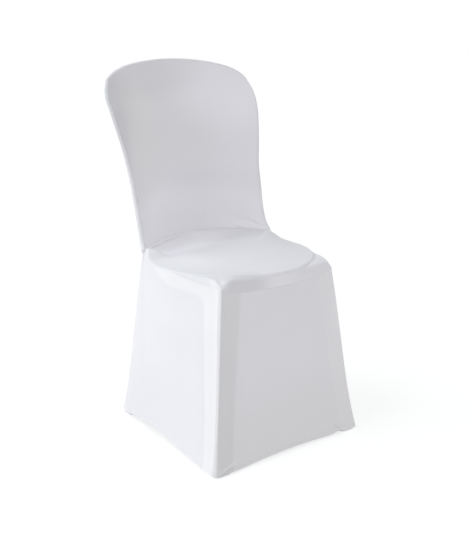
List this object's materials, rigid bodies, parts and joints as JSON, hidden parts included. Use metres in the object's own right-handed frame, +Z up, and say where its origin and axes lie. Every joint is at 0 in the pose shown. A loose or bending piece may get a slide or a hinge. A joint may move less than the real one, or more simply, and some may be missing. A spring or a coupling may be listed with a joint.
{
  "type": "stretch chair cover",
  "caption": "White stretch-knit cover for a one-piece bistro chair: round seat, snug back sock, four-sided skirt with an arched hem and foot pockets at the corners.",
  "frame": {"origin": "on the floor, in the middle of the cover's outer box", "axes": "+Z up, the seat's front towards -Y, +X to the right of someone who looks at the seat from the front"},
  "size_m": [0.4382, 0.4978, 0.8897],
  "materials": {
    "cover_knit": "matt white elastane knit, smooth and drawn tight",
    "pocket_knit": "matt white elastane knit, doubled"
  },
  "bodies": {
    "root": {"seat": "cover_knit", "back_front": "cover_knit", "back_rear": "cover_knit", "skirt": "cover_knit", "foot_pocket_front_left": "pocket_knit", "foot_pocket_front_right": "pocket_knit", "foot_pocket_rear_left": "pocket_knit", "foot_pocket_rear_right": "pocket_knit"}
  },
  "joints": []
}
